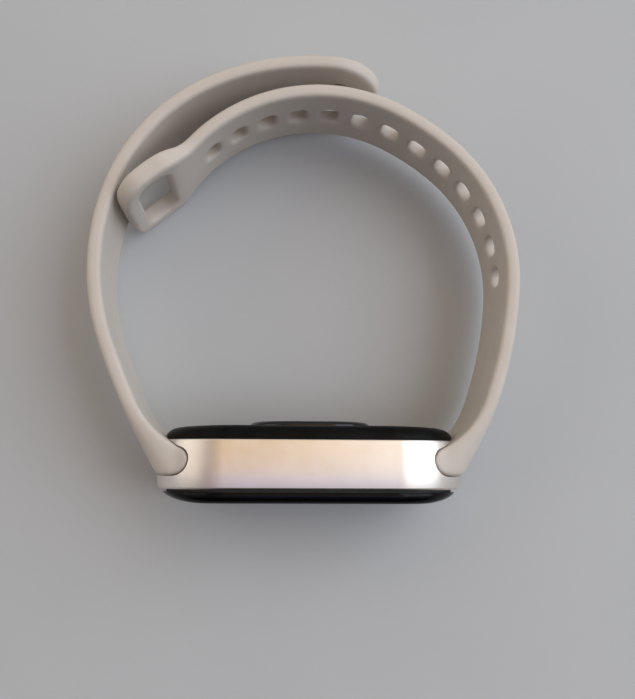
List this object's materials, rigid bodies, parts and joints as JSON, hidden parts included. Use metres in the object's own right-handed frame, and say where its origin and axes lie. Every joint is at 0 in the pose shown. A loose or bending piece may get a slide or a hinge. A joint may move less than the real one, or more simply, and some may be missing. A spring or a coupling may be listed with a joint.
{
  "type": "fitness tracker band",
  "caption": "Slim fitness tracker: a rounded metal case with a glass front and a sensor back, on a two-piece soft band with a snap stud, punched holes and a keeper loop.",
  "frame": {"origin": "on the case's lower side face, at the middle of its length, level with the ledge that the straps stand on", "axes": "+X along the case towards the hole strap, +Y from the display side towards the wrist side, +Z across the band, up from the surface it lies on"},
  "size_m": [0.0652, 0.0684, 0.0216],
  "materials": {
    "metal_frame": "satin champagne anodised, fine bead blast",
    "display_glass": "high gloss, black behind",
    "display_stack": "dark laminated panel",
    "black_seal": "matt black",
    "tray_plastic": "moulded, matt",
    "circuit_board": "solder mask",
    "can_steel": "bright stamped",
    "cell_foil": "satin pouch foil",
    "ribbon_film": "amber film",
    "cover_plastic": "fine moulded texture",
    "sensor_lens": "high gloss dark lens",
    "lamp_resin": "clear resin",
    "contact_gold": "bright plated",
    "strap_elastomer": "soft matt moulded, warm greige",
    "insert_steel": "fine satin",
    "stud_steel": "satin champagne"
  },
  "bodies": {
    "case": {"case_frame": "metal_frame", "cover_glass": "display_glass", "display_panel": "display_stack", "display_gasket": "black_seal", "inner_chassis": "tray_plastic", "main_board": "circuit_board", "shield_can": "can_steel", "battery": "cell_foil", "vibration_motor": "can_steel", "display_flex_cable": "ribbon_film", "sensor_board": "circuit_board", "sensor_leds": "lamp_resin", "photodiode": "lamp_resin", "back_cover": "cover_plastic", "back_cover_gasket": "black_seal", "sensor_window": "sensor_lens", "charging_contacts": "contact_gold", "stud_strap_root": "strap_elastomer", "hole_strap_root": "strap_elastomer", "stud_connector": "insert_steel", "hole_connector": "insert_steel", "stud_latch_spring": "can_steel", "hole_latch_spring": "can_steel"},
    "stud_band": {"stud_strap": "strap_elastomer", "closure_stud": "stud_steel"},
    "hole_band": {"hole_strap": "strap_elastomer"},
    "stud_release": {"stud_release_button": "strap_elastomer"},
    "hole_release": {"hole_release_button": "strap_elastomer"}
  },
  "joints": [
    {"name": "stud_strap_flex", "type": "hinge", "parent": "case", "child": "stud_band", "pos_m": [-0.02819, 0.01094, 0.0108], "axis": [0, 0, 1], "range_deg": [0, 60], "stiffness_Nm_per_rad": 0.02},
    {"name": "hole_strap_flex", "type": "hinge", "parent": "case", "child": "hole_band", "pos_m": [0.02789, 0.01107, 0.0108], "axis": [0, 0, -1], "range_deg": [0, 30], "stiffness_Nm_per_rad": 0.02},
    {"name": "stud_release_press", "type": "slide", "parent": "case", "child": "stud_release", "axis": [0, -1, 0], "range_m": [0, 0.0006], "stiffness_N_per_m": 400, "springref_m": -0.0004, "deforming": ["stud_latch_spring"]},
    {"name": "hole_release_press", "type": "slide", "parent": "case", "child": "hole_release", "axis": [0, -1, 0], "range_m": [0, 0.0006], "stiffness_N_per_m": 400, "springref_m": -0.0004, "deforming": ["hole_latch_spring"]}
  ],
  "couplings": [
    {"joint": "hole_strap_flex", "follows": "stud_strap_flex", "ratio": 0.5}
  ]
}
